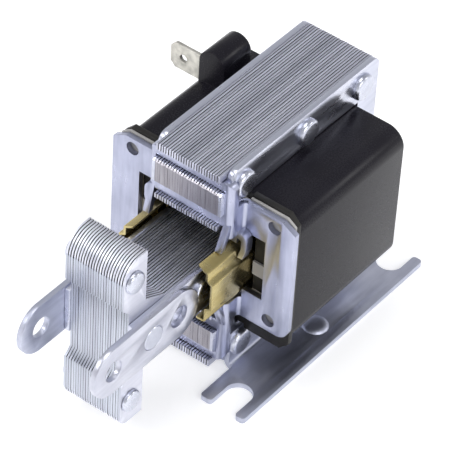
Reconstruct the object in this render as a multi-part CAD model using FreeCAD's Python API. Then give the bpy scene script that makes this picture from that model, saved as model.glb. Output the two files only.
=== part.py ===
import FreeCAD, Part
import math
import os

# Push pull solenoid with a laminated box frame and a laminated T-shaped plunger.
# Millimetres. X runs along the plunger, out of the frame; Z is up.
# The origin is the centre of the four foot slots, on the plane that the feet stand on.

Vector = FreeCAD.Vector

# Sheet stock
lamination = 0.635
frame_sheets = 25
plunger_sheets = 23
plate = 1.27
guide_sheet = 0.6
insulator_sheet = 0.5
tab_sheet = 0.8

# Travel and clearances
stroke = 20.3
running_gap = 0.3
seat_gap = 0.05
plunger_drop = 0.5
end_gap = 0.4
rear_gap = 1.0

# Frame stack: a C of electrical steel, open towards the plunger
frame_front = 24.3
frame_length = 50.6
frame_height = 51.6
frame_lift = 1.5
frame_corner = 2.0
back_leg = 6.5
beam = 8.4
pole_depth = 6.3
pole_inset = 4.4
pole_height = 5.6
pole_chamfer = 0.5
side_plate_setback = 2.4
lip_height = 1.7
strip_play = 0.12

# Front plate: a hat section with two ears
crown_inset = 2.0
crown_window_play = 0.4
crown_window_reach = 0.76
crown_gate_lap = 1.2
ear_reach = 3.03
ear_width = 13.7
ear_top_step = 0.2
ear_bottom_step = 4.1
ear_chamfer_y = 3.2
ear_chamfer_z = 1.8
ear_corner = 3.0
ear_hole_edge = 5.0
ear_hole_drop = 2.5
ear_hole_rise = 2.8
ear_hole_radius = 1.55
ear_window_gap = 4.0
ear_window_rise = 2.6
ear_window_low = -5.7
side_gate_drop = 0.6
return_length = 0.9
plate_corner = 2.0
hat_bend = 1.5
finger_width = 1.5
finger_lean = 2.0
hook_width = 2.1
hook_reach = 1.65
hook_rise = 1.0
hook_drop = 2.5
hook_bend = 1.9
hook_inner_bend = 0.6

# Feet
foot_rear = -30.5
foot_front = 31.3
foot_reach = 13.2
foot_leg_setback = 1.0
foot_bend = 0.8
slot_half_pitch = 26.05
slot_reach = 7.9
slot_radius = 3.0
slot_corner = 0.8
pip_reach = 7.7
pip_radius = 2.9
pip_height = 0.8
leg_notch_setback = 6.4
leg_notch_length = 4.0
leg_notch_depth = 2.0

# Plunger
stem_half = 5.5
head_depth = 7.0
head_top = 21.4
head_bottom = -22.0
head_top_radius = 5.0
head_bottom_radius = 2.75
gusset_length = 6.0
gusset_height = 3.0
notch_top = 8.2
notch_bottom = -9.2
notch_depth = 1.85
side_bar_setback = 1.5

# Links
link_half = 5.9
link_tail = 13.5
link_pin_reach = 5.5
link_pin_radius = 2.35
link_spare_setback = 7.5
link_spare_radius = 2.5

# Rivets
rivet_sides = 20
head_taper = 0.6
frame_rivet_front = 6.4
frame_rivet_rear = 5.6
frame_rivet_offset = 0.8
frame_rivet_inset = 4.7
frame_rivet_radius = 2.0
frame_rivet_head = 3.0
frame_rivet_rise = 1.2
head_rivet_setback = 4.0
head_rivet_z = 16.0
head_rivet_radius = 1.6
head_rivet_head = 2.5
head_rivet_rise = 0.9
link_rivet_setback = 0.4
link_rivet_radius = 2.75
stem_rivet_setbacks = (16.2, 36.0)
stem_rivet_radius = 1.6
stem_rivet_head = 2.5
stem_rivet_rise = 0.7

# Guides
guide_reach = 5.7
guide_setback = 4.1
guide_lip_step = 1.0
guide_lip_fall = 1.3
guide_bulge = 1.25
guide_bulge_half = 4.4
guide_bulge_slope = 1.0
guide_bulge_setback = 1.0
guide_bend = 0.5

# Coil
bobbin_wall = 1.0
bobbin_flange = 1.3
flange_lap = 0.2
flange_rise = 1.1
flange_chamfer = 2.2
cover_reach = 12.5
cover_round = 4.2
cover_wall = 3.2

# Terminals
housing_setback = 5.6
housing_inset = 1.7
housing_width = 6.4
housing_rise = 8.3
housing_round = 3.1
tab_width = 6.35
tab_reach = 7.7
tab_root = 5.9
tab_setback = 8.0
tab_cheek = 0.9
tab_hole_radius = 0.9
tab_hole_inset = 3.3
tab_chamfer = 1.2
tab_drop = 0.7

# Frame and plates
middle = frame_lift + frame_height / 2
frame_half = frame_height / 2
frame_rear = frame_front - frame_length
stack_side = frame_sheets * lamination / 2
frame_side = stack_side + plate
crown_back = frame_front - side_plate_setback
crown_front = crown_back + plate
crown_side = frame_side + plate
ear_front = crown_front - plate - ear_reach
ear_back = ear_front - plate
window_rear = frame_rear + back_leg
window_front = frame_front - pole_depth
window_half = frame_half - beam
pole_top = frame_half - pole_inset
pole_bottom = pole_top - pole_height

# Plunger and links
head_back = frame_front + stroke + end_gap
head_front = head_back + head_depth
stem_rear = window_rear + stroke + rear_gap
plunger_middle = middle - plunger_drop
plunger_side = plunger_sheets * lamination / 2
bar_side = plunger_side + plate
link_side = bar_side + plate
side_bar_front = head_front - side_bar_setback
link_rear = head_back - link_tail
link_pin_x = head_front + link_pin_reach
link_spare_x = head_back - link_spare_setback
link_rivet_x = head_back + link_rivet_setback
head_rivet_x = head_back + head_rivet_setback
stem_rivet_x = [head_back - setback for setback in stem_rivet_setbacks]

# Guides, and the gate between the poles that they stand in
guide_half = link_half + plunger_drop + running_gap + guide_sheet
guide_lip = plunger_side + guide_lip_step
guide_wall = link_side + running_gap
guide_outside = guide_wall + guide_sheet
guide_crest = guide_outside + guide_bulge
guide_front = frame_front + guide_reach
guide_bulge_rear = ear_back - guide_bulge_setback
gate_half = (guide_half + pole_bottom) / 2
bore_side = guide_crest + 4 * seat_gap
bore_half = guide_half + running_gap

# Coil and terminals
cover_half = window_half - running_gap
cover_side = frame_side + cover_reach
cavity_side = cover_side - cover_wall
cavity_half = cover_half - cover_wall
bobbin_rear = window_rear + insulator_sheet + 4 * seat_gap
bobbin_front = ear_back - insulator_sheet - 4 * seat_gap
winding_rear = bobbin_rear + bobbin_flange
winding_front = bobbin_front - bobbin_flange
guide_rear = bobbin_rear + guide_setback
housing_rear = bobbin_rear + housing_setback
tab_x = housing_rear + tab_setback
housing_front = tab_x + tab_cheek
housing_outer = cover_side - housing_inset
housing_inner = housing_outer - housing_width
tab_middle = cover_half + tab_width / 2 - tab_drop

# Openings and edges of the front plate
crown_top = frame_half - crown_inset
crown_window_side = stack_side + crown_window_reach
crown_window_high = pole_top + crown_window_play
crown_window_low = pole_bottom - crown_window_play
crown_gate = gate_half + crown_gate_lap
ear_tip = frame_side + ear_width
ear_top = cover_half + ear_top_step
ear_bottom = ear_bottom_step - cover_half
ear_hole_y = ear_tip - ear_hole_edge
ear_holes_z = (ear_top - ear_hole_drop, ear_bottom + ear_hole_rise)
ear_window_side = guide_crest + ear_window_gap
ear_window_top = guide_half + ear_window_rise
side_gate_low = -guide_half - side_gate_drop

# Feet and frame rivets
foot_outer = frame_side + foot_reach
foot_leg_rear = frame_rear + foot_leg_setback
slot_middle = frame_side + slot_reach
pip_middle = frame_side + pip_reach
leg_top = middle - cover_half - running_gap
leg_front = crown_back - return_length - 4 * seat_gap
leg_notch_rear = leg_front - leg_notch_setback
frame_rivet_z = frame_half - frame_rivet_inset
first_rivet = frame_front - frame_rivet_front
last_rivet = frame_rear + frame_rivet_rear
frame_rivet_x = (first_rivet, (first_rivet + last_rivet) / 2 - frame_rivet_offset, last_rivet)


def place(axis, u, v, w):
    """A point with u and v in the plane normal to axis, and w along it."""
    if axis == "x":
        return Vector(w, u, v)
    if axis == "y":
        return Vector(u, w, v)
    return Vector(u, v, w)


def outline(axis, corners, level):
    """Closed wire through the corners, each (u, v) or (u, v, radius)."""
    count = len(corners)
    arrivals = []
    departures = []
    crowns = []
    for index, corner in enumerate(corners):
        here = Vector(corner[0], corner[1], 0)
        radius = corner[2] if len(corner) > 2 else 0
        before = corners[index - 1]
        after = corners[(index + 1) % count]
        back = (Vector(before[0], before[1], 0) - here).normalize()
        ahead = (Vector(after[0], after[1], 0) - here).normalize()
        if radius == 0:
            arrivals.append(here)
            departures.append(here)
            crowns.append(None)
            continue
        half = back.getAngle(ahead) / 2
        reach = radius / math.tan(half)
        arrivals.append(here + back * reach)
        departures.append(here + ahead * reach)
        inward = (back + ahead).normalize()
        crowns.append(here + inward * (radius / math.sin(half) - radius))
    edges = []
    for index in range(count):
        start = place(axis, arrivals[index].x, arrivals[index].y, level)
        end = place(axis, departures[index].x, departures[index].y, level)
        if crowns[index] is not None:
            crown = place(axis, crowns[index].x, crowns[index].y, level)
            edges.append(Part.Arc(start, crown, end).toShape())
        following = arrivals[(index + 1) % count]
        onward = place(axis, following.x, following.y, level)
        if end.distanceToPoint(onward) > Part.Precision.confusion() * 10:
            edges.append(Part.LineSegment(end, onward).toShape())
    return Part.Wire(edges)


def prism(axis, corners, low, high):
    """Solid of one outline, from low to high along the axis."""
    face = Part.Face(outline(axis, corners, low))
    return face.extrude(place(axis, 0, 0, high - low))


def block(x0, x1, y0, y1, z0, z1):
    """Box between two corners."""
    return Part.makeBox(x1 - x0, y1 - y0, z1 - z0, Vector(x0, y0, z0))


def rod(axis, radius, u, v, low, high):
    """Cylinder along the axis, from low to high."""
    return Part.makeCylinder(radius, high - low, place(axis, u, v, low), place(axis, 0, 0, 1))


def ring(axis, radius, u, v, w):
    """Corners round a centre, as many as a rivet has sides."""
    points = []
    for side in range(rivet_sides):
        angle = 2 * math.pi * side / rivet_sides
        points.append(place(axis, u + radius * math.cos(angle), v + radius * math.sin(angle), w))
    return points


def shank(radius, x, z, reach):
    """A rivet's shank across the object, from side to side."""
    corners = ring("y", radius, x, z, -reach)
    return Part.Face(Part.makePolygon(corners + corners[:1])).extrude(Vector(0, 2 * reach, 0))


def closed(low, high):
    """Solid between two rings with the same number of corners."""
    count = len(low)
    faces = [Part.Face(Part.makePolygon(low + low[:1])), Part.Face(Part.makePolygon(high + high[:1]))]
    for index in range(count):
        after = (index + 1) % count
        side = [low[index], low[after], high[after], high[index], low[index]]
        faces.append(Part.Face(Part.makePolygon(side)))
    solid = Part.makeSolid(Part.makeShell(faces))
    solid.fixTolerance(Part.Precision.confusion())
    return solid if solid.Volume > 0 else solid.reversed()


def low_head(axis, radius, rise, u, v, base):
    """A low head that tapers upwards from the plane at base."""
    return closed(ring(axis, radius, u, v, base), ring(axis, radius * head_taper, u, v, base + rise))


def rivet(x, z, radius, head, rise, reach):
    """A rivet across the object, from face to face, with a head at each end."""
    right = low_head("y", head, rise, x, z, reach)
    return fused([shank(radius, x, z, reach), right, mirrored(right)])


def rectangle(x, y, z, depth, width):
    """Corners of a level rectangle from its rear right corner."""
    return [Vector(x, y, z), Vector(x + depth, y, z), Vector(x + depth, y + width, z), Vector(x, y + width, z)]


def mirrored(shape):
    """The same shape on the left side."""
    return shape.mirror(Vector(0, 0, 0), Vector(0, 1, 0))


def upside_down(shape):
    """The same shape turned over about the height of the guides' middle."""
    return shape.mirror(Vector(0, 0, middle), Vector(0, 0, 1))


def fused(shapes):
    """One solid without the seams between its parts."""
    whole = shapes[0].multiFuse(shapes[1:])
    return whole.removeSplitter()


def save(name, shape):
    """Write one sub-part and say what it holds."""
    shape.exportStep("parts/" + name + ".step")
    print(name, "solids", len(shape.Solids), "volume", round(shape.Volume, 1))


def level(dz):
    """Height above the feet of a level given from the guides' middle."""
    return middle + dz


def lifted(corners, height):
    """Outline corners with v given from a height, moved up to it."""
    return [(c[0], height + c[1]) + tuple(c[2:]) for c in corners]


def frame_outline(front, corner_front):
    """The C of the frame in the X-Z plane, without the poles' bumps."""
    top = frame_half
    corners = [
        (front, -gate_half),
        (front, -top, corner_front),
        (frame_rear, -top, frame_corner),
        (frame_rear, top, frame_corner),
        (front, top, corner_front),
        (front, gate_half),
        (window_front, gate_half),
        (window_front, window_half),
        (window_rear, window_half),
        (window_rear, -window_half),
        (window_front, -window_half),
        (window_front, -gate_half),
    ]
    return lifted(corners, middle)


def bumps(low, high):
    """Both poles' raised faces, which stand through the front plate's windows."""
    corners = [
        (crown_back, pole_bottom),
        (frame_front, pole_bottom),
        (frame_front, pole_top - pole_chamfer),
        (frame_front - pole_chamfer, pole_top),
        (crown_back, pole_top),
    ]
    upper = prism("y", lifted(corners, middle), low, high)
    return [upper, upside_down(upper)]


def lips(low, high):
    """The thin edges beside the front plate's strips."""
    shapes = []
    for bottom, top in ((frame_half - lip_height, frame_half), (gate_half, crown_gate - strip_play)):
        shape = block(crown_back, frame_front, low, high, level(bottom), level(top))
        shapes += [shape, upside_down(shape)]
    return shapes


def frame_rivet_bores():
    """Holes for the six rivets, right through frame and feet."""
    bores = []
    for x in frame_rivet_x:
        for z in (frame_rivet_z, -frame_rivet_z):
            bores.append(shank(frame_rivet_radius + seat_gap, x, level(z), crown_side))
    return Part.makeCompound(bores)


def make_frame_stack():
    body = prism("y", frame_outline(crown_back, 0), -stack_side, stack_side)
    stack = fused([body] + bumps(-stack_side, stack_side) + lips(-stack_side, stack_side))
    return stack.cut(frame_rivet_bores())


def make_side_plate():
    body = prism("y", frame_outline(crown_back, frame_corner), stack_side, frame_side)
    whole = fused([body] + bumps(stack_side, crown_window_side - seat_gap))
    return whole.cut(frame_rivet_bores())


def make_frame_rivets():
    shapes = []
    for x in frame_rivet_x:
        for z, reach in ((frame_rivet_z, frame_side), (-frame_rivet_z, crown_side)):
            shapes.append(rivet(x, level(z), frame_rivet_radius, frame_rivet_head,
                                frame_rivet_rise, reach))
    return Part.makeCompound(shapes)


def make_hat(return_back):
    """The front plate's section in the X-Y plane, right half, as a full-height solid."""
    corners = [
        (crown_front, 0),
        (crown_front, crown_side, hat_bend),
        (ear_front, crown_side, foot_bend),
        (ear_front, ear_tip),
        (ear_back, ear_tip),
        (ear_back, frame_side, hat_bend),
        (crown_back, frame_side),
        (crown_back, 0),
    ]
    whole = prism("z", corners, level(-crown_top), level(crown_top))
    keep = [
        (0, crown_top),
        (crown_side, crown_top, plate_corner),
        (crown_side, ear_top),
        (ear_tip - ear_chamfer_y, ear_top),
        (ear_tip, ear_top - ear_chamfer_z),
        (ear_tip, ear_bottom, ear_corner),
        (crown_side, ear_bottom),
        (crown_side, -crown_top, plate_corner),
        (0, -crown_top),
    ]
    half = whole.common(prism("x", lifted(keep, middle), ear_back - plate, crown_front + plate))
    for low, high in ((ear_top, frame_half), (-frame_half, ear_bottom)):
        half = half.cut(block(ear_back - plate, return_back, 0, ear_tip, level(low), level(high)))
    return half


def make_front_plate():
    half = make_hat(crown_back - return_length)
    front = crown_front + plate
    cuts = []
    for low, high in ((crown_window_low, crown_window_high), (-crown_window_high, -crown_window_low)):
        cuts.append(block(ear_back, front, -plate, crown_window_side, level(low), level(high)))
    cuts.append(block(crown_back - plate, front, -plate, crown_window_side,
                      level(-crown_gate), level(crown_gate)))
    cuts.append(block(ear_back - plate, front, -plate, crown_side + plate / 2,
                      level(side_gate_low), level(ear_window_top)))
    cuts.append(block(ear_back - plate, front, frame_side, ear_window_side,
                      level(ear_window_low), level(ear_window_top)))
    for z in ear_holes_z:
        cuts.append(rod("x", ear_hole_radius, ear_hole_y, level(z), ear_back - plate, front))
    half = fused([half.cut(Part.makeCompound(cuts)), make_hook()] + make_fingers())
    return fused([half, mirrored(half)])


def make_fingers():
    """Fingers that lean out from the crown onto the lips of a guide."""
    root = rectangle(crown_back, crown_window_side, level(crown_gate + plate / 2), plate, finger_width)
    tip = rectangle(crown_back + finger_lean, guide_lip + seat_gap, level(guide_half + 2 * seat_gap),
                    plate, finger_width)
    upper = closed(root, tip)
    return [upper, upside_down(upper)]


def make_hook():
    """A hook bent out of the side wall, down into the valley over a guide's bulge."""
    outer = (crown_side + guide_crest) / 2 + hook_reach
    tip = guide_outside + 2 * seat_gap
    tip_low = guide_bulge_half - seat_gap
    shoulder = outer - plate
    root_low = guide_half + side_gate_drop
    corners = [
        (frame_side, root_low),
        (frame_side, ear_window_top + hook_rise),
        (outer, ear_window_top + hook_rise, hook_bend),
        (outer, tip_low + hook_drop, hook_inner_bend),
        (tip + plate, tip_low),
        (tip, tip_low),
        (shoulder, tip_low + hook_drop, hook_inner_bend),
        (shoulder, ear_window_top - hook_inner_bend, hook_inner_bend),
        (crown_side, ear_window_top - hook_inner_bend),
        (crown_side, root_low),
    ]
    return prism("x", lifted(corners, middle), ear_front + seat_gap, ear_front + hook_width)


def make_foot():
    """Angle bracket with a riveted leg and a flange with two open slots."""
    root = frame_side + foot_bend + plate
    angle = [
        (frame_side, leg_top),
        (frame_side, 0, foot_bend + plate),
        (root + plate, 0),
        (root + plate, plate),
        (frame_side + plate, plate, foot_bend),
        (frame_side + plate, leg_top),
    ]
    leg = prism("x", angle, foot_leg_rear, leg_front)
    notch_front = leg_notch_rear + leg_notch_length
    notch = block(leg_notch_rear, notch_front, 0, root, leg_top - leg_notch_depth, leg_top + plate)
    slot_low = slot_middle - slot_radius
    slot_high = slot_middle + slot_radius
    flange = [
        (foot_rear, root),
        (foot_front, root, slot_corner),
        (foot_front, slot_low, slot_corner),
        (slot_half_pitch - slot_radius, slot_low, slot_radius - seat_gap),
        (slot_half_pitch - slot_radius, slot_high, slot_radius - seat_gap),
        (foot_front, slot_high, slot_corner),
        (foot_front, foot_outer, slot_corner),
        (foot_rear, foot_outer, slot_corner),
        (foot_rear, slot_high, slot_corner),
        (slot_radius - slot_half_pitch, slot_high, slot_radius - seat_gap),
        (slot_radius - slot_half_pitch, slot_low, slot_radius - seat_gap),
        (foot_rear, slot_low, slot_corner),
    ]
    flat = prism("z", flange, 0, plate)
    pip = low_head("z", pip_radius, pip_height, 0, pip_middle, plate)
    whole = fused([leg.cut(notch), flat, pip])
    return whole.cut(frame_rivet_bores())


def make_guide():
    """Brass channel, with lips over the plunger and a bulge towards the front."""
    inner = guide_half - guide_sheet
    fall = guide_half - guide_lip_fall
    channel = [
        (guide_lip, guide_half),
        (guide_outside, fall, guide_bend),
        (guide_outside, -guide_half, guide_bend + guide_sheet),
        (guide_lip, -guide_half),
        (guide_lip, -inner),
        (guide_wall, -inner, guide_bend / 2),
        (guide_wall, fall - guide_sheet / 2),
        (guide_lip, inner),
    ]
    rail = prism("x", lifted(channel, middle), guide_rear, guide_front)
    top = guide_bulge_half
    side = guide_bulge_half - guide_bulge_slope
    inside = guide_crest - guide_sheet
    bulge = [
        (guide_wall, top),
        (guide_crest, side, guide_bend),
        (guide_crest, -side, guide_bend),
        (guide_wall, -top),
        (guide_wall, guide_sheet - top),
        (inside, guide_sheet / 2 - side),
        (inside, side - guide_sheet / 2),
        (guide_wall, top - guide_sheet),
    ]
    swell = prism("x", lifted(bulge, middle), guide_bulge_rear, guide_front)
    mouth = block(guide_bulge_rear, guide_front, guide_wall, guide_outside,
                  level(guide_sheet - top), level(top - guide_sheet))
    return fused([rail.cut(mouth), swell])


def sleeve(low, high, side, half, inner_side, inner_half):
    """Rectangular tube along the plunger's axis."""
    outer = block(low, high, -side, side, level(-half), level(half))
    inner = block(low, high, -inner_side, inner_side, level(-inner_half), level(inner_half))
    return outer.cut(inner)


def outer_sheet(rear, front):
    """The wide end sheet of the coil, notched round the frame's beams and side plates."""
    side = cover_side + flange_lap
    top = cover_half + flange_rise
    corners = []
    for y, z in ((1, 1), (-1, 1), (-1, -1), (1, -1)):
        first = (y * side, z * (top - flange_chamfer))
        second = (y * (side - flange_chamfer), z * top)
        corners += [first, second] if y * z > 0 else [second, first]
    sheet = prism("x", lifted(corners, middle), rear, front)
    cuts = [block(rear, front, -bore_side, bore_side, level(-bore_half), level(bore_half))]
    notch_side = crown_side + running_gap
    for low, high in ((cover_half, frame_half), (-frame_half, -cover_half)):
        cuts.append(block(rear, front, -notch_side, notch_side, level(low), level(high)))
    return sheet.cut(Part.makeCompound(cuts))


def inner_sheet(rear, front):
    """The end sheet of the coil that sits inside its jacket."""
    return sleeve(rear, front, cavity_side - seat_gap, cavity_half - seat_gap, bore_side, bore_half)


def make_bobbin():
    tube = sleeve(bobbin_rear, bobbin_front, bore_side + bobbin_wall, bore_half + bobbin_wall,
                  bore_side, bore_half)
    rear = inner_sheet(bobbin_rear, winding_rear)
    front = outer_sheet(winding_front, bobbin_front)
    return fused([tube, rear, front])


def make_coil_winding():
    return sleeve(winding_rear, winding_front, cavity_side, cavity_half,
                  bore_side + bobbin_wall, bore_half + bobbin_wall)


def make_coil_cover():
    """Moulded jacket round the winding, with a round-topped housing over each terminal."""
    jacket = [
        (-cover_side, -cover_half, cover_round),
        (cover_side, -cover_half, cover_round),
        (cover_side, cover_half, cover_round),
        (-cover_side, cover_half, cover_round),
    ]
    shell = prism("x", lifted(jacket, middle), bobbin_rear, winding_front)
    top = cover_half + housing_rise
    housing = [
        (-housing_outer, cavity_half),
        (-housing_inner, cavity_half),
        (-housing_inner, top, housing_round),
        (-housing_outer, top, housing_round),
    ]
    upper = prism("x", lifted(housing, middle), housing_rear, housing_front)
    whole = fused([shell, upper, upside_down(upper)])
    core = block(bobbin_rear, winding_front, -cavity_side, cavity_side,
                 level(-cavity_half), level(cavity_half))
    slots = [terminal_slot(), upside_down(terminal_slot())]
    return whole.cut(Part.makeCompound([core] + slots))


def terminal_slot():
    half = tab_sheet / 2 + seat_gap
    width = tab_width / 2 + seat_gap
    return block(tab_x - half, tab_x + half, -housing_outer, -housing_outer + tab_root,
                 level(tab_middle - width), level(tab_middle + width))


def make_terminal():
    half = tab_width / 2
    tip = -housing_outer - tab_reach
    root = -housing_outer + tab_root
    blade = [
        (root, tab_middle - half),
        (root, tab_middle + half),
        (tip, tab_middle + half),
        (tip, tab_middle - half),
    ]
    low = tab_x - tab_sheet / 2
    high = tab_x + tab_sheet / 2
    solid = prism("x", lifted(blade, middle), low, high)
    cuts = [rod("x", tab_hole_radius, tip + tab_hole_inset, level(tab_middle), low, high)]
    for side in (1, -1):
        z = tab_middle + side * half
        notch = [(tip, z), (tip + tab_chamfer, z), (tip, z - side * tab_chamfer)]
        cuts.append(prism("x", lifted(notch, middle), low, high))
    return solid.cut(Part.makeCompound(cuts))


def plunger_outline():
    """The T of the plunger in the X-Z plane."""
    corners = [
        (stem_rear, -stem_half),
        (head_back - gusset_length, -stem_half),
        (head_back, -stem_half - gusset_height),
        (head_back, head_bottom),
        (head_front, head_bottom, head_bottom_radius),
        (head_front, notch_bottom - notch_depth),
        (head_front - notch_depth, notch_bottom),
        (head_front - notch_depth, notch_top),
        (head_front, notch_top + notch_depth),
        (head_front, head_top, head_top_radius),
        (head_back, head_top),
        (head_back, stem_half + gusset_height),
        (head_back - gusset_length, stem_half),
        (stem_rear, stem_half),
    ]
    return lifted(corners, plunger_middle)


def plunger_bores():
    """Holes for the rivets of the plunger, in all of its layers."""
    bores = [shank(link_rivet_radius + seat_gap, link_rivet_x, plunger_middle, link_side)]
    for x in stem_rivet_x:
        bores.append(shank(stem_rivet_radius + seat_gap, x, plunger_middle, link_side))
    for z in (head_rivet_z, -head_rivet_z):
        bores.append(shank(head_rivet_radius + seat_gap, head_rivet_x, plunger_middle + z, link_side))
    return Part.makeCompound(bores)


def make_plunger_stack():
    return prism("y", plunger_outline(), -plunger_side, plunger_side).cut(plunger_bores())


def make_side_bar():
    bar = block(stem_rear, side_bar_front, plunger_side, bar_side,
                plunger_middle - stem_half, plunger_middle + stem_half)
    return bar.cut(plunger_bores())


def make_link():
    front = link_pin_x + link_half
    corners = [
        (link_rear, -link_half, link_half - seat_gap),
        (front, -link_half, link_half - seat_gap),
        (front, link_half, link_half - seat_gap),
        (link_rear, link_half, link_half - seat_gap),
    ]
    strap = prism("y", lifted(corners, plunger_middle), bar_side, link_side)
    pin = rod("y", link_pin_radius, link_pin_x, plunger_middle, bar_side, link_side)
    spare = rod("y", link_spare_radius, link_spare_x, plunger_middle, bar_side, link_side)
    return strap.cut(Part.makeCompound([pin, spare, plunger_bores()]))


def make_head_rivets():
    shapes = []
    for z in (head_rivet_z, -head_rivet_z):
        shapes.append(rivet(head_rivet_x, plunger_middle + z, head_rivet_radius, head_rivet_head,
                            head_rivet_rise, plunger_side))
    return Part.makeCompound(shapes)


def make_stem_rivets():
    shapes = []
    for x in stem_rivet_x:
        shapes.append(rivet(x, plunger_middle, stem_rivet_radius, stem_rivet_head,
                            stem_rivet_rise, bar_side))
    return Part.makeCompound(shapes)


os.makedirs("parts", exist_ok=True)

save("frame_stack", make_frame_stack())
side_plate = make_side_plate()
save("side_plate_right", side_plate)
save("side_plate_left", mirrored(side_plate))
save("front_plate", make_front_plate())
foot = make_foot()
save("foot_right", foot)
save("foot_left", mirrored(foot))
save("frame_rivets", make_frame_rivets())
guide = make_guide()
save("guide_right", guide)
save("guide_left", mirrored(guide))
save("bobbin", make_bobbin())
save("coil_winding", make_coil_winding())
save("coil_cover", make_coil_cover())
save("front_insulator", outer_sheet(bobbin_front + seat_gap, bobbin_front + seat_gap + insulator_sheet))
save("rear_insulator", inner_sheet(window_rear + seat_gap, window_rear + seat_gap + insulator_sheet))
terminal = make_terminal()
save("terminal_upper", terminal)
save("terminal_lower", upside_down(terminal))
save("plunger_stack", make_plunger_stack())
side_bar = make_side_bar()
save("side_bar_right", side_bar)
save("side_bar_left", mirrored(side_bar))
link = make_link()
save("link_right", link)
save("link_left", mirrored(link))
save("head_rivets", make_head_rivets())
save("stem_rivets", make_stem_rivets())
save("link_rivet", shank(link_rivet_radius, link_rivet_x, plunger_middle, link_side))
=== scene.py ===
# %% [markdown]
# # A push pull solenoid with a laminated frame
# The object is a small electromagnet. A coil sits in a box of stacked steel sheets. When current
# flows, it pulls the T-shaped stack of sheets in, and two links pass that pull on.
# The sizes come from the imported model, which is loaded first and never moved. This lesson
# dresses it: it gives each piece its rounded edges, its separate sheets and its finish.

# %% Load the model that everything is fitted to
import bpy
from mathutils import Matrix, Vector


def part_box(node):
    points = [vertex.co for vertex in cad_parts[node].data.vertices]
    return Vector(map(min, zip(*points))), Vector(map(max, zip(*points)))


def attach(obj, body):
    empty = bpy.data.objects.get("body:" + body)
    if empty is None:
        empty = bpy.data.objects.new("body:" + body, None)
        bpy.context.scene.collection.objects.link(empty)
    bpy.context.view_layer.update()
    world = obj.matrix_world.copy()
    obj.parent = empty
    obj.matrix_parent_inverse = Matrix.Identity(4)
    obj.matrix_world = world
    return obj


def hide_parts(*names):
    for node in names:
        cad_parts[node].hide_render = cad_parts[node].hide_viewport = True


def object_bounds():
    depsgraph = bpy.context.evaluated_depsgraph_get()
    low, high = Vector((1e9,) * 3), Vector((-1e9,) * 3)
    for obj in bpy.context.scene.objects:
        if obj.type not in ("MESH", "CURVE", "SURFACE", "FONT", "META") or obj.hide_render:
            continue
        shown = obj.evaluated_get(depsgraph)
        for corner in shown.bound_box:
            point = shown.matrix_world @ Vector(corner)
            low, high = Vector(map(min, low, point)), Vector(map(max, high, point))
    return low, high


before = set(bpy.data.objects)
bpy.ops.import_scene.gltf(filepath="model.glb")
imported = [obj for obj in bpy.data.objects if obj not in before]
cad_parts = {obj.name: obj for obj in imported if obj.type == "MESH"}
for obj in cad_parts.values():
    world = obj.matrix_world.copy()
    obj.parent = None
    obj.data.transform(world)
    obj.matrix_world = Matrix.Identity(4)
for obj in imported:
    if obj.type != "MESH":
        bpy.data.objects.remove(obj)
cad_low, cad_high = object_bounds()
print("model box in mm", [round(v * 1000, 1) for v in (*cad_low, *cad_high)])

# %% [markdown]
# ## Units and small tools
# Blender works in metres here, and the object is 94 mm long, so sizes are written in
# millimetres and multiplied by MM. A few helpers are worth having before the first piece:
# one that turns loose triangles into whole faces, one that rounds edges, and one that
# hangs the finished mesh on the right moving body.

# %% Helpers for meshes
import math
import random

import bmesh
import bpy
from mathutils import Matrix, Vector

MM = 0.001
WELD = 0.002 * MM
FLAT_ANGLE = math.radians(1)
EDGE_ANGLE = math.radians(28)
SMOOTH_ANGLE = math.radians(40)


def merged_copy(node):
    """A bmesh of a CAD node, with its loose triangles joined into whole faces."""
    bm = bmesh.new()
    bm.from_mesh(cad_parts[node].data)
    bmesh.ops.remove_doubles(bm, verts=bm.verts[:], dist=WELD)
    bmesh.ops.dissolve_limit(bm, angle_limit=FLAT_ANGLE, verts=bm.verts[:], edges=bm.edges[:])
    return bm


def sharp_edges(bm):
    """The edges where two faces meet at a clear corner."""
    bm.normal_update()
    return [e for e in bm.edges if len(e.link_faces) == 2 and e.calc_face_angle() > EDGE_ANGLE]


def round_edges(bm, width, segments=2):
    """Round every clear corner by the same small width."""
    bmesh.ops.bevel(bm, geom=sharp_edges(bm), offset=width, offset_type="OFFSET", affect="EDGES",
                    segments=segments, profile=0.5, material=-1, clamp_overlap=True)


def make_piece(name, bm, body, finishes, node):
    """Turn a bmesh into a named piece that rides on a body and stands for a CAD node."""
    mesh = bpy.data.meshes.new(name)
    bm.to_mesh(mesh)
    bm.free()
    mesh.shade_smooth()
    mesh.set_sharp_from_angle(angle=SMOOTH_ANGLE)
    for finish in finishes:
        mesh.materials.append(finish)
    piece = bpy.data.objects.new(name, mesh)
    bpy.context.scene.collection.objects.link(piece)
    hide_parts(node)
    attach(piece, body)
    print(name, "faces", len(mesh.polygons))


# %% [markdown]
# ## Finishes
# Every finish here is worked out from Object coordinates, which stay put on the piece. Three
# patterns do most of the work. A cloud pattern varies tone and gloss as plating does. A streak
# pattern is the same noise stretched along one axis, as rolled or ground metal shows. A fine
# grain goes to the bump only. Photographs of such parts could be used instead, but a
# procedural finish needs no files and has no seams.

# %% Helpers for finishes
def new_finish(name, metallic, roughness):
    """A material with a Principled shader, its node tree and the shader itself."""
    finish = bpy.data.materials.new(name)
    finish.use_nodes = True
    shader = finish.node_tree.nodes["Principled BSDF"]
    shader.inputs["Metallic"].default_value = metallic
    shader.inputs["Roughness"].default_value = roughness
    return finish, finish.node_tree, shader


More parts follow.
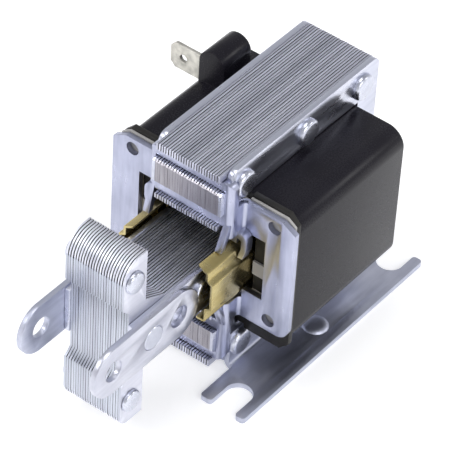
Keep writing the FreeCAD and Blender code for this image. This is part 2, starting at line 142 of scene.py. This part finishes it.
def noise(tree, scale, stretch=(1, 1, 1), detail=3.0):
    """Noise on Object coordinates. Scale counts features per metre, stretch draws them out."""
    place = tree.nodes.new("ShaderNodeTexCoord")
    mapping = tree.nodes.new("ShaderNodeMapping")
    mapping.inputs["Scale"].default_value = [1 / s for s in stretch]
    texture = tree.nodes.new("ShaderNodeTexNoise")
    texture.inputs["Scale"].default_value = scale
    texture.inputs["Detail"].default_value = detail
    tree.links.new(place.outputs["Object"], mapping.inputs["Vector"])
    tree.links.new(mapping.outputs["Vector"], texture.inputs["Vector"])
    return texture.outputs["Fac"]


NOISE_LOW, NOISE_HIGH = 0.35, 0.65


def between(tree, value, low, high):
    """Map a pattern to a range of numbers. Noise hardly leaves NOISE_LOW to NOISE_HIGH."""
    span = tree.nodes.new("ShaderNodeMapRange")
    span.inputs["From Min"].default_value = NOISE_LOW
    span.inputs["From Max"].default_value = NOISE_HIGH
    span.inputs["To Min"].default_value = low
    span.inputs["To Max"].default_value = high
    tree.links.new(value, span.inputs["Value"])
    return span.outputs["Result"]


def tint(tree, value, dark, light, start=NOISE_LOW, end=NOISE_HIGH):
    """Map a pattern to a run between two colours."""
    ramp = tree.nodes.new("ShaderNodeValToRGB")
    ramp.color_ramp.elements[0].position = start
    ramp.color_ramp.elements[0].color = (*dark, 1)
    ramp.color_ramp.elements[1].position = end
    ramp.color_ramp.elements[1].color = (*light, 1)
    tree.links.new(value, ramp.inputs["Fac"])
    return ramp.outputs["Color"]


def mixed(tree, first, second, share):
    """The average of two patterns, weighted by share."""
    mix = tree.nodes.new("ShaderNodeMix")
    mix.inputs["Factor"].default_value = share
    tree.links.new(first, mix.inputs["A"])
    tree.links.new(second, mix.inputs["B"])
    return mix.outputs["Result"]


def bump(tree, shader, height, depth):
    """Give the surface relief of a real depth in metres."""
    relief = tree.nodes.new("ShaderNodeBump")
    relief.inputs["Distance"].default_value = depth
    tree.links.new(height, relief.inputs["Height"])
    tree.links.new(relief.outputs["Normal"], shader.inputs["Normal"])


# %% [markdown]
# ## Zinc plate
# Plates, feet, links and rivets are steel with a thin bluish coat of zinc. A flat metal colour
# would look like chrome. Plating is cloudy, and the rolled sheet below it leaves faint streaks,
# so both patterns are mixed, and drive colour and gloss together. Two copies are painted darker
# as shade: one for the front plate, and a rougher one for the feet and the left link's inner face.

# %% Zinc plate
ALONG_X = (8, 1, 1)
ALONG_Z = (1, 1, 8)
EVEN = (1, 1, 1)


def zinc_finish(name, dark, light, along, roughness):
    """Bright zinc plate: cloudy bluish tone, faint rolling streaks, soft gloss."""
    finish, tree, shader = new_finish(name, 1.0, 0.3)
    cloud = noise(tree, 130)
    streak = noise(tree, 900, stretch=along, detail=2.0)
    tone = mixed(tree, cloud, streak, 0.45)
    tree.links.new(tint(tree, tone, dark, light), shader.inputs["Base Color"])
    tree.links.new(between(tree, tone, roughness[1], roughness[0]), shader.inputs["Roughness"])
    bump(tree, shader, mixed(tree, streak, noise(tree, 2600), 0.5), 0.004 * MM)
    return finish


zinc_sheet = zinc_finish("zinc_sheet", (0.58, 0.60, 0.70), (0.72, 0.74, 0.84), ALONG_X, (0.24, 0.36))
zinc_bright = zinc_finish("zinc_bright", (0.56, 0.57, 0.65), (0.68, 0.69, 0.77), ALONG_X, (0.26, 0.40))
# front plate: its darker tone is painted shade
zinc_upright_shaded = zinc_finish("zinc_upright_shaded", (0.39, 0.41, 0.53), (0.52, 0.54, 0.68), ALONG_Z, (0.26, 0.38))
# feet and left link: rougher zinc, with a darker tone that is painted shade
zinc_dull_shaded = zinc_finish("zinc_dull_shaded", (0.48, 0.50, 0.60), (0.60, 0.62, 0.73), ALONG_X, (0.36, 0.48))
zinc_rivet = zinc_finish("zinc_rivet", (0.60, 0.62, 0.71), (0.70, 0.72, 0.81), EVEN, (0.24, 0.32))
print("zinc finishes", len(bpy.data.materials))

# %% [markdown]
# ## Cut edges of the steel sheets
# The top of the frame shows the sheared edges of its sheets, side by side. No two have quite the
# same tone. Painting stripes would be one way. Here the place across the stack is counted in
# sheets, and a white noise gives each whole number a tone of its own, so tone and sheet always
# agree. Between the sheets lies dark oxide, and the pole faces were ground flat afterwards.

# %% Cut edges of the steel sheets
SHEET_PITCH = 0.635 * MM
SHEAR_X = (14, 1, 1)
SHEAR_Z = (1, 1, 14)


def sheet_edge_finish(name, dark, light, along, roughness):
    """Sheared edges of thin steel sheets: each sheet has its own tone, with scratches along it."""
    finish, tree, shader = new_finish(name, 1.0, 0.3)
    place = tree.nodes.new("ShaderNodeTexCoord")
    split = tree.nodes.new("ShaderNodeSeparateXYZ")
    count = tree.nodes.new("ShaderNodeMath")
    count.operation = "MULTIPLY_ADD"
    count.inputs[1].default_value = 1 / SHEET_PITCH
    count.inputs[2].default_value = 0.5
    whole = tree.nodes.new("ShaderNodeMath")
    whole.operation = "FLOOR"
    own = tree.nodes.new("ShaderNodeTexWhiteNoise")
    own.noise_dimensions = "1D"
    tree.links.new(place.outputs["Object"], split.inputs["Vector"])
    tree.links.new(split.outputs["Y"], count.inputs[0])
    tree.links.new(count.outputs["Value"], whole.inputs[0])
    tree.links.new(whole.outputs["Value"], own.inputs["W"])
    streak = noise(tree, 700, stretch=along, detail=4.0)
    tone = mixed(tree, own.outputs["Value"], streak, 0.5)
    tree.links.new(tint(tree, tone, dark, light, 0.3, 0.7), shader.inputs["Base Color"])
    tree.links.new(between(tree, streak, roughness[1], roughness[0]), shader.inputs["Roughness"])
    bump(tree, shader, streak, 0.006 * MM)
    return finish


def oxide_finish():
    """The dark, dull oxide that insulates one sheet from the next."""
    finish, tree, shader = new_finish("sheet_oxide", 0.0, 0.6)
    cloud = noise(tree, 300)
    tone = tint(tree, cloud, (0.018, 0.018, 0.022), (0.04, 0.04, 0.046))
    tree.links.new(tone, shader.inputs["Base Color"])
    bump(tree, shader, cloud, 0.004 * MM)
    return finish


def ground_finish():
    """The ground face of a pole: pinkish grey, with fine scratches along Z."""
    finish, tree, shader = new_finish("ground_pole", 1.0, 0.4)
    scratch = noise(tree, 2400, stretch=SHEAR_Z, detail=4.0)
    tone = tint(tree, scratch, (0.355, 0.34, 0.375), (0.425, 0.41, 0.45))
    tree.links.new(tone, shader.inputs["Base Color"])
    tree.links.new(between(tree, scratch, 0.48, 0.36), shader.inputs["Roughness"])
    bump(tree, shader, scratch, 0.006 * MM)
    return finish


frame_edges = sheet_edge_finish("frame_edges", (0.52, 0.53, 0.62), (0.72, 0.73, 0.84), SHEAR_X,
                                (0.30, 0.50))
# the plunger's cut edges are lighter than the frame's: painted light on the stem, which lies in the
# frame's shade
plunger_edges_lit = sheet_edge_finish("plunger_edges_lit", (0.70, 0.71, 0.79), (0.88, 0.89, 0.97), SHEAR_X,
                                  (0.42, 0.56))
plunger_ground = sheet_edge_finish("plunger_ground", (0.57, 0.59, 0.67), (0.64, 0.67, 0.75), SHEAR_Z,
                                   (0.42, 0.56))
sheet_oxide = oxide_finish()
ground_pole = ground_finish()
print("zinc and sheet finishes", len(bpy.data.materials))

# %% [markdown]
# ## Brass, tin, mouldings and paper
# The guides are folded from rolled brass, so that the steel plunger slides on another metal. The
# terminals are tinned, duller and blotchy. The cover and the bobbin are black moulded plastic,
# which has hardly any colour: its look is in the gloss, so its roughness varies more than its
# tone. Paper is the same finish, only pale and matt.

# %% Brass, tin, mouldings and paper
def brass_finish():
    """Rolled brass: pale yellow, fine streaks along the strip."""
    finish, tree, shader = new_finish("rolled_brass", 1.0, 0.34)
    streak = noise(tree, 800, stretch=(10, 1, 1), detail=3.0)
    cloud = noise(tree, 160)
    tone = mixed(tree, cloud, streak, 0.3)
    tree.links.new(tint(tree, tone, (0.46, 0.37, 0.15), (0.60, 0.51, 0.26)), shader.inputs["Base Color"])
    tree.links.new(between(tree, tone, 0.31, 0.22), shader.inputs["Roughness"])
    bump(tree, shader, streak, 0.003 * MM)
    return finish


def tin_finish():
    """Dull hot-dipped tin, blotchy in tone and gloss."""
    finish, tree, shader = new_finish("dull_tin", 1.0, 0.45)
    cloud = noise(tree, 500, detail=5.0)
    tree.links.new(tint(tree, cloud, (0.45, 0.44, 0.40), (0.68, 0.66, 0.60)), shader.inputs["Base Color"])
    tree.links.new(between(tree, cloud, 0.55, 0.38), shader.inputs["Roughness"])
    bump(tree, shader, cloud, 0.01 * MM)
    return finish


def moulding_finish(name, dark, light, roughness):
    """Moulded plastic or pressed paper: nearly even colour, soft waviness and fine grain."""
    finish, tree, shader = new_finish(name, 0.0, roughness)
    shader.inputs["Specular IOR Level"].default_value = 0.19
    cloud = noise(tree, 90)
    grain = noise(tree, 3000, detail=2.0)
    tree.links.new(tint(tree, cloud, dark, light), shader.inputs["Base Color"])
    tree.links.new(between(tree, mixed(tree, cloud, grain, 0.5), roughness - 0.06, roughness + 0.06),
                   shader.inputs["Roughness"])
    bump(tree, shader, mixed(tree, cloud, grain, 0.3), 0.03 * MM)
    return finish


def copper_finish():
    """Enamelled copper wire, with the turns as fine bands across X."""
    finish, tree, shader = new_finish("copper_wire", 1.0, 0.35)
    turns = noise(tree, 2000, stretch=(1, 30, 30))
    tree.links.new(tint(tree, turns, (0.35, 0.12, 0.04), (0.72, 0.33, 0.16)), shader.inputs["Base Color"])
    bump(tree, shader, turns, 0.05 * MM)
    return finish


rolled_brass = brass_finish()
dull_tin = tin_finish()
cover_black = moulding_finish("cover_black", (0.010, 0.009, 0.013), (0.014, 0.013, 0.018), 0.26)
bobbin_black = moulding_finish("bobbin_black", (0.020, 0.019, 0.018), (0.035, 0.033, 0.030), 0.45)
paper_grey = moulding_finish("paper_grey", (0.42, 0.41, 0.40), (0.56, 0.55, 0.53), 0.7)
copper_wire = copper_finish()
print("finishes", len(bpy.data.materials))

# %% [markdown]
# ## The stacks of steel sheets
# Frame and plunger are each a pile of thin stamped sheets. A groove in a solid block would look
# like them only from far away, so here every sheet is its own shell. One sheet is cut out of the
# solid with two planes, its rims are filled, its edges rounded, and then it is laid down once
# for each sheet of the stack. Real sheets never line up fully, so each copy is shifted by a few
# hundredths of a millimetre, always by the same ones because the draw is seeded.

# %% Cut one sheet and lay the stack
EDGE_FINISH, SIDE_FINISH, GROUND_FINISH = 0, 1, 2
SIDEWAYS = 0.9
FORWARDS = 0.3


def one_sheet(node, thickness, edge, ground, width):
    """One sheet cut from the middle of a solid stack, with rounded edges and dark sides.

    Ground faces are given as (x, low, high), with heights from MIDDLE. There the sheet is
    wider, because grinding smears each edge towards its neighbour.
    """
    def on_ground(point):
        return any(abs(point.x - x) < WELD and low < point.z - MIDDLE < high for x, low, high in ground)

    bm = merged_copy(node)
    half = SHEET_PITCH / 4  # a thin slice first, stretched to its thickness below
    for side in (-1, 1):
        normal = Vector((0, side, 0))
        geom = bm.verts[:] + bm.edges[:] + bm.faces[:]
        cut = bmesh.ops.bisect_plane(bm, geom=geom, plane_co=normal * half, plane_no=normal,
                                     clear_outer=True)
        rim = [g for g in cut["geom_cut"] if isinstance(g, bmesh.types.BMEdge)]
        bmesh.ops.triangle_fill(bm, edges=rim, use_beauty=True, normal=normal)
    bmesh.ops.recalc_face_normals(bm, faces=bm.faces[:])
    bmesh.ops.dissolve_limit(bm, angle_limit=FLAT_ANGLE, verts=bm.verts[:], edges=bm.edges[:])
    bmesh.ops.scale(bm, vec=(1, thickness / (2 * half), 1), verts=bm.verts[:])
    for x in sorted({face[0] for face in ground}):
        geom = bm.verts[:] + bm.edges[:] + bm.faces[:]
        bmesh.ops.bisect_plane(bm, geom=geom, plane_co=(x - GROUND_FLARE, 0, 0), plane_no=(1, 0, 0))
    face_verts = [v for v in bm.verts if on_ground(v.co)]
    bmesh.ops.scale(bm, vec=(1, width / thickness, 1), verts=face_verts)
    edges = [e for e in sharp_edges(bm) if not any(on_ground(v.co) for v in e.verts)]
    bmesh.ops.bevel(bm, geom=edges, offset=edge, offset_type="OFFSET", affect="EDGES", segments=1,
                    profile=0.5, material=-1, clamp_overlap=True)
    bm.normal_update()
    for face in bm.faces:
        if abs(face.normal.y) > SIDEWAYS:
            face.material_index = SIDE_FINISH
        elif face.normal.x > FORWARDS and any(on_ground(v.co) for v in face.verts):
            face.material_index = GROUND_FINISH
    sheet = bpy.data.meshes.new(node + "_sheet")
    bm.to_mesh(sheet)
    bm.free()
    return sheet


def lay_stack(sheet, count, play, seed):
    """All sheets of one stack, each shifted a little along X and Z."""
    draw = random.Random(seed)
    bm = bmesh.new()
    for index in range(count):
        first = len(bm.verts)
        bm.from_mesh(sheet)
        bm.verts.ensure_lookup_table()
        shift = Vector((-draw.uniform(0, play), (index - (count - 1) / 2) * SHEET_PITCH,
                        draw.uniform(-play, 0)))
        bmesh.ops.translate(bm, verts=bm.verts[first:], vec=shift)
    outside = (count - 1) / 2 * SHEET_PITCH
    for face in bm.faces:
        if abs(face.calc_center_median().y) > outside and face.material_index == SIDE_FINISH:
            face.material_index = EDGE_FINISH
    return bm


FRAME_SHEETS = 25
PLUNGER_SHEETS = 23
SHEET_GAP = 0.20 * MM
SHEET_EDGE = 0.07 * MM
SHEET_PLAY = 0.07 * MM
POLE_GAP = 0.03 * MM
HEAD_GAP = 0.09 * MM
MIDDLE = 27.3 * MM
GROUND_FLARE = 0.3 * MM
POLE_LOW = 15.5 * MM
POLE_HIGH = 21.0 * MM
HEAD_HALF = 30 * MM
HEAD_STEP = 1.85 * MM
FRAME_SEED, PLUNGER_SEED = 3, 8
pole_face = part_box("frame_stack")[1][0]
poles = [(pole_face, POLE_LOW, POLE_HIGH), (pole_face, -POLE_HIGH, -POLE_LOW)]
frame_sheet = one_sheet("frame_stack", SHEET_PITCH - SHEET_GAP, SHEET_EDGE, poles, SHEET_PITCH - POLE_GAP)
make_piece("frame_sheets", lay_stack(frame_sheet, FRAME_SHEETS, SHEET_PLAY, FRAME_SEED), "frame",
           [frame_edges, sheet_oxide, ground_pole], "frame_stack")
head_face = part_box("plunger_stack")[1][0]
heads = [(head_face, -HEAD_HALF, HEAD_HALF), (head_face - HEAD_STEP, -HEAD_HALF, HEAD_HALF)]
plunger_sheet = one_sheet("plunger_stack", SHEET_PITCH - SHEET_GAP, SHEET_EDGE, heads,
                          SHEET_PITCH - HEAD_GAP)
# the plunger's sheets carry the lighter edges with painted light
make_piece("plunger_sheets", lay_stack(plunger_sheet, PLUNGER_SHEETS, SHEET_PLAY, PLUNGER_SEED), "plunger",
           [plunger_edges_lit, sheet_oxide, plunger_ground], "plunger_stack")

# %% [markdown]
# ## Sheet metal
# The side plates, the front plate, the feet, the links and the bars are stamped from 1.27 mm
# sheet. The model already has their true outlines and bends. What it lacks is the small
# rounded corner that every stamped edge has, and that catches the light. So each is copied,
# its triangles are merged, and its clear corners are bevelled.

# %% Dress the stamped pieces
STAMPED_SHEET = 1.27 * MM
STAMPED_EDGE = 0.12 * MM
stamped = [
    ("side_plate_right", "frame", zinc_sheet),
    ("side_plate_left", "frame", zinc_sheet),
    # the front plate gets the darker copy with painted shade
    ("front_plate", "frame", zinc_upright_shaded),
    ("side_bar_right", "plunger", zinc_sheet),
    ("side_bar_left", "plunger", zinc_sheet),
    ("link_right", "plunger", zinc_bright),
    # the left link's inner face gets the darker copy with painted shade
    ("link_left", "plunger", zinc_dull_shaded),
]


def dress(node, body, finish, edge, segments=2):
    """A bevelled copy of a CAD node, under a name of its own."""
    bm = merged_copy(node)
    round_edges(bm, edge, segments)
    make_piece(node + "_dressed", bm, body, [finish], node)


for node, body, finish in stamped:
    dress(node, body, finish, STAMPED_EDGE)

# %% [markdown]
# ## Feet
# Each foot has a low round pip pressed up from below. In the model it is a short cone with
# twenty sides. Here its top is taken off, and rings are drawn up from the hole that is left,
# each smaller and higher, until they close in a dome. Extruding a ring of edges and scaling it
# is the quickest way to any round cap that grows out of a flat face.

# %% Draw up the pips
PIP_RISE = 0.8 * MM
PIP_REACH = 3 * MM
PIP_RINGS = [(0.95, 0.30), (0.84, 0.62), (0.66, 0.84), (0.42, 0.96), (0.15, 1.0)]


def domed_foot(node):
    """A foot with its pip drawn as a smooth dome."""
    bm = merged_copy(node)
    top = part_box(node)[0][2] + STAMPED_SHEET
    cone = [v for v in bm.verts if v.co.z > top + WELD and abs(v.co.x) < PIP_REACH
            and v.co.z < top + 2 * PIP_RISE and len(v.link_edges) == 3]
    around = {e.other_vert(v) for v in cone for e in v.link_edges} - set(cone)
    base = [v for v in bm.verts if v in around]
    centre = sum((v.co for v in base), Vector()) / len(base)
    bmesh.ops.delete(bm, geom=cone, context="VERTS")
    ring = [e for e in bm.edges if e.is_boundary]
    reach = 1.0
    rise = 0.0
    for share, height in PIP_RINGS:
        drawn = bmesh.ops.extrude_edge_only(bm, edges=ring)["geom"]
        verts = [g for g in drawn if isinstance(g, bmesh.types.BMVert)]
        ring = [g for g in drawn if isinstance(g, bmesh.types.BMEdge) and g.is_boundary]
        bmesh.ops.scale(bm, vec=(share / reach, share / reach, 1), verts=verts,
                        space=Matrix.Translation(-centre))
        bmesh.ops.translate(bm, verts=verts, vec=(0, 0, (height - rise) * PIP_RISE))
        reach, rise = share, height
    bmesh.ops.edgeloop_fill(bm, edges=ring)
    bmesh.ops.recalc_face_normals(bm, faces=bm.faces[:])
    print(node, "pip corners", len(base))
    return bm


# the feet get the rougher zinc copy, whose darker tone is painted shade
for node in ("foot_right", "foot_left"):
    foot = domed_foot(node)
    round_edges(foot, STAMPED_EDGE)
    make_piece(node + "_dressed", foot, "frame", [zinc_dull_shaded], node)

# %% [markdown]
# ## Rivets
# A rivet is round about its own axis, so half of its profile is drawn once, from the middle of
# one head to the middle of the other, and spun. The set heads are flat discs with a rounded
# shoulder. Place and length are read from each rivet in the model, and the radii and the
# height of the heads come from a small table.

# %% Spin the rivets
SHOULDER = [(0.0, 1.0), (0.74, 1.0), (0.86, 0.93), (0.95, 0.72), (0.99, 0.42), (1.0, 0.0)]
SPIN_STEPS = 40


def islands(bm):
    """The separate solids in a bmesh, each as its lowest and highest corner."""
    left = set(bm.verts)
    boxes = []
    while left:
        queue = [left.pop()]
        found = list(queue)
        while queue:
            for edge in queue.pop().link_edges:
                for vert in edge.verts:
                    if vert in left:
                        left.remove(vert)
                        queue.append(vert)
                        found.append(vert)
        low = Vector([min(v.co[k] for v in found) for k in range(3)])
        high = Vector([max(v.co[k] for v in found) for k in range(3)])
        boxes.append((low, high))
    return sorted(boxes, key=lambda box: tuple(box[0]))


def spun_rivets(node, head, rise, shank):
    """Every rivet of a node, spun about Y. A head radius of None leaves a plain flush pin."""
    source = merged_copy(node)
    boxes = islands(source)
    source.free()
    bm = bmesh.new()
    for low, high in boxes:
        centre = (low + high) / 2
        reach = (high.y - low.y) / 2
        if head is None:
            half = [(0, reach), (shank - rise, reach), (shank, reach - rise)]
        else:
            half = [(head * r, reach - rise + rise * h) for r, h in SHOULDER]
            half.append((shank, reach - rise))
        profile = half + [(r, -y) for r, y in reversed(half)]
        verts = [bm.verts.new(centre + Vector((r, y, 0))) for r, y in profile]
        edges = [bm.edges.new(pair) for pair in zip(verts, verts[1:])]
        bmesh.ops.spin(bm, geom=verts + edges, cent=centre, axis=(0, 1, 0), angle=2 * math.pi,
                       steps=SPIN_STEPS, use_merge=True)
    bmesh.ops.remove_doubles(bm, verts=bm.verts[:], dist=WELD)
    bmesh.ops.recalc_face_normals(bm, faces=bm.faces[:])
    print(node, "rivets", len(boxes))
    return bm


# node, body, head radius, head height, shank radius
rivet_sizes = [
    ("frame_rivets", "frame", 3.0 * MM, 1.2 * MM, 2.0 * MM),
    ("head_rivets", "plunger", 2.5 * MM, 0.9 * MM, 1.6 * MM),
    ("stem_rivets", "plunger", 2.5 * MM, 0.7 * MM, 1.6 * MM),
    ("link_rivet", "plunger", None, 0.2 * MM, 2.75 * MM),
]
for node, body, head, rise, shank in rivet_sizes:
    make_piece(node + "_dressed", spun_rivets(node, head, rise, shank), body,
               [zinc_rivet], node)

# %% [markdown]
# ## The paper behind the front plate
# A sheet of insulating paper lies between the coil and the plate. It follows the ears, is cut
# out round the guides, and has a tongue on each side that shows through the ear's window. It is
# drawn as one flat outline for the right half, given its thickness by extrusion, and mirrored.

# %% Cut the front paper
# distances from the middle plane and from the guides' middle, in millimetres
paper_outline = [
    (0.0, 16.8), (10.8, 16.8), (10.8, 17.6), (19.9, 17.6), (21.9, 16.2), (21.9, -11.5), (20.4, -13.0),
    (0.0, -13.0), (0.0, -7.6), (12.3, -7.6), (12.3, -6.0), (16.3, -6.0), (16.3, -1.7), (12.3, -1.7),
    (12.3, 1.7), (16.3, 1.7), (16.3, 10.2), (0.0, 10.2),
]


def front_paper():
    """The right half of the paper, extruded, opened at the seam and mirrored."""
    low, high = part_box("front_insulator")
    bm = bmesh.new()
    ring = [bm.verts.new((low[0], y * MM, MIDDLE + z * MM)) for y, z in paper_outline]
    faces = [bm.faces.new(ring)]
    pulled = bmesh.ops.extrude_face_region(bm, geom=faces)["geom"]
    verts = [g for g in pulled if isinstance(g, bmesh.types.BMVert)]
    bmesh.ops.translate(bm, verts=verts, vec=(high[0] - low[0], 0, 0))
    seam = [f for f in bm.faces if all(abs(v.co.y) < WELD for v in f.verts)]
    bmesh.ops.delete(bm, geom=seam, context="FACES_ONLY")
    bmesh.ops.mirror(bm, geom=bm.verts[:] + bm.edges[:] + bm.faces[:], axis="Y", merge_dist=WELD)
    bmesh.ops.recalc_face_normals(bm, faces=bm.faces[:])
    return bm


make_piece("front_paper", front_paper(), "frame", [paper_grey], "front_insulator")

# %% [markdown]
# ## Guides, coil and terminals
# The brass guides, the moulded cover, the bobbin and the blades have their whole shape in the
# model already. Drawing them again could only bring in differences, so they are dressed as the
# stamped pieces were. Only the width of the rounded edge changes: wide and in three steps on
# the moulding, whose mould has soft corners, and narrow on thin brass and tin. The winding is
# closed in by the cover, so it keeps the model's mesh and gets a copper finish.

# %% Dress the rest
BRASS_EDGE = 0.06 * MM
COVER_EDGE = 0.25 * MM
BOBBIN_EDGE = 0.1 * MM
PAPER_EDGE = 0.04 * MM
BLADE_EDGE = 0.08 * MM
for node in ("guide_right", "guide_left"):
    dress(node, "frame", rolled_brass, BRASS_EDGE)
dress("coil_cover", "frame", cover_black, COVER_EDGE, 3)
dress("bobbin", "frame", bobbin_black, BOBBIN_EDGE)
dress("rear_insulator", "frame", paper_grey, PAPER_EDGE, 1)
for node in ("terminal_upper", "terminal_lower"):
    dress(node, "frame", dull_tin, BLADE_EDGE)
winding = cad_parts["coil_winding"]
winding.data.materials.clear()
winding.data.materials.append(copper_wire)

# %% [markdown]
# ## Floor
# The floor is a large pale plane. Lamps alone would leave it grey, and stronger lamps would
# burn out the plate. So it also glows a little, but only for what looks at it: the camera, and
# rays that metal reflects or glass lets through. It lights nothing that is dull, and the
# shadow of the object stays on it.

# %% Floor
FLOOR_SIZE = 6.0
FLOOR_GLOW = 0.42


def floor_finish():
    """Pale and matt, with a glow that the camera, gloss and clear pieces see."""
    finish, tree, shader = new_finish("floor_white", 0.0, 0.8)
    shader.inputs["Base Color"].default_value = (0.86, 0.86, 0.86, 1)
    shader.inputs["Specular IOR Level"].default_value = 0.0
    glow = tree.nodes.new("ShaderNodeEmission")
    path = tree.nodes.new("ShaderNodeLightPath")
    add = tree.nodes.new("ShaderNodeAddShader")
    seen = path.outputs["Is Camera Ray"]
    for ray in ("Is Glossy Ray", "Is Transmission Ray"):
        either = tree.nodes.new("ShaderNodeMath")
        either.operation = "MAXIMUM"
        tree.links.new(seen, either.inputs[0])
        tree.links.new(path.outputs[ray], either.inputs[1])
        seen = either.outputs["Value"]
    level = tree.nodes.new("ShaderNodeMath")
    level.operation = "MULTIPLY"
    level.inputs[1].default_value = FLOOR_GLOW
    tree.links.new(seen, level.inputs[0])
    tree.links.new(level.outputs["Value"], glow.inputs["Strength"])
    tree.links.new(shader.outputs["BSDF"], add.inputs[0])
    tree.links.new(glow.outputs["Emission"], add.inputs[1])
    tree.links.new(add.outputs["Shader"], tree.nodes["Material Output"].inputs["Surface"])
    return finish


floor_bm = bmesh.new()
bmesh.ops.create_grid(floor_bm, x_segments=1, y_segments=1, size=FLOOR_SIZE / 2)
floor_mesh = bpy.data.meshes.new("floor")
floor_bm.to_mesh(floor_mesh)
floor_bm.free()
floor_mesh.materials.append(floor_finish())
floor = bpy.data.objects.new("floor", floor_mesh)
bpy.context.scene.collection.objects.link(floor)
print("floor in metres", FLOOR_SIZE)

# %% [markdown]
# ## Surroundings and lamps
# Metal shows what is around it, so a plain grey world would make it dull. As in a small photo
# tent, the world is white near the horizon and greyer overhead, which gives plates that lie
# flat their darker tone. Four square lamps do the rest: a broad one from the side, one from
# above, and two small ones that draw highlights on the front and on the rear edges.

# %% Surroundings
WORLD_STRENGTH = 0.8


def studio_world():
    """White near the horizon and below, greyer overhead, as in a small photo tent."""
    world = bpy.data.worlds.new("studio")
    world.use_nodes = True
    tree = world.node_tree
    background = tree.nodes["Background"]
    direction = tree.nodes.new("ShaderNodeTexCoord")
    split = tree.nodes.new("ShaderNodeSeparateXYZ")
    ramp = tree.nodes.new("ShaderNodeValToRGB")
    ramp.color_ramp.elements[0].position = 0.0
    ramp.color_ramp.elements[0].color = (0.95, 0.95, 0.97, 1)
    ramp.color_ramp.elements[1].position = 1.0
    ramp.color_ramp.elements[1].color = (0.45, 0.46, 0.49, 1)
    tree.links.new(direction.outputs["Generated"], split.inputs["Vector"])
    tree.links.new(split.outputs["Z"], ramp.inputs["Fac"])
    tree.links.new(ramp.outputs["Color"], background.inputs["Color"])
    background.inputs["Strength"].default_value = WORLD_STRENGTH
    bpy.context.scene.world = world


studio_world()


def soft_lamp(name, place, aim, size, power):
    """A square area lamp that faces a point."""
    lamp = bpy.data.lights.new(name, "AREA")
    lamp.shape = "SQUARE"
    lamp.size = size
    lamp.energy = power
    holder = bpy.data.objects.new(name, lamp)
    holder.location = place
    holder.rotation_euler = (Vector(aim) - Vector(place)).to_track_quat("-Z", "Y").to_euler()
    bpy.context.scene.collection.objects.link(holder)


middle = (cad_low + cad_high) / 2
soft_lamp("key_lamp", (0.25, 0.75, 0.55), middle, 0.6, 2.5)
soft_lamp("top_lamp", (0.1, -0.1, 1.0), middle, 0.5, 2.5)
soft_lamp("front_lamp", (0.62, -0.47, 0.62), middle, 0.3, 2.0)
soft_lamp("edge_lamp", (-0.70, 0.78, 0.50), middle, 0.3, 1.0)
print("lamps", len(bpy.data.lights))

# %% [markdown]
# ## Camera
# The view is that of a product photo: from the front right, well above the object, and
# through a long lens, so that parallel edges stay nearly parallel. Its place and its three
# directions came out of a fit to the corners of the frame, which is safer than turning a
# camera by eye.

# %% Camera
camera_place = Vector((0.3983, 0.2798, 0.4650))
camera_back = Vector((0.5976, 0.4313, 0.6759)).normalized()
camera_up = Vector((-0.5103, -0.4457, 0.7355))
camera_right = camera_up.cross(camera_back).normalized()
camera_up = camera_back.cross(camera_right)
CAMERA_LENS = 257.2
camera = bpy.data.cameras.new("camera")
camera.lens = CAMERA_LENS
camera.sensor_width = 36
camera.clip_start = 0.05
camera.clip_end = 20
stand = bpy.data.objects.new("camera", camera)
turned = Matrix((camera_right, camera_up, camera_back)).transposed().to_4x4()
stand.matrix_world = Matrix.Translation(camera_place) @ turned
bpy.context.scene.collection.objects.link(stand)
bpy.context.scene.camera = stand
bpy.context.scene.view_settings.view_transform = "Standard"
print("lens in mm", round(camera.lens, 1))
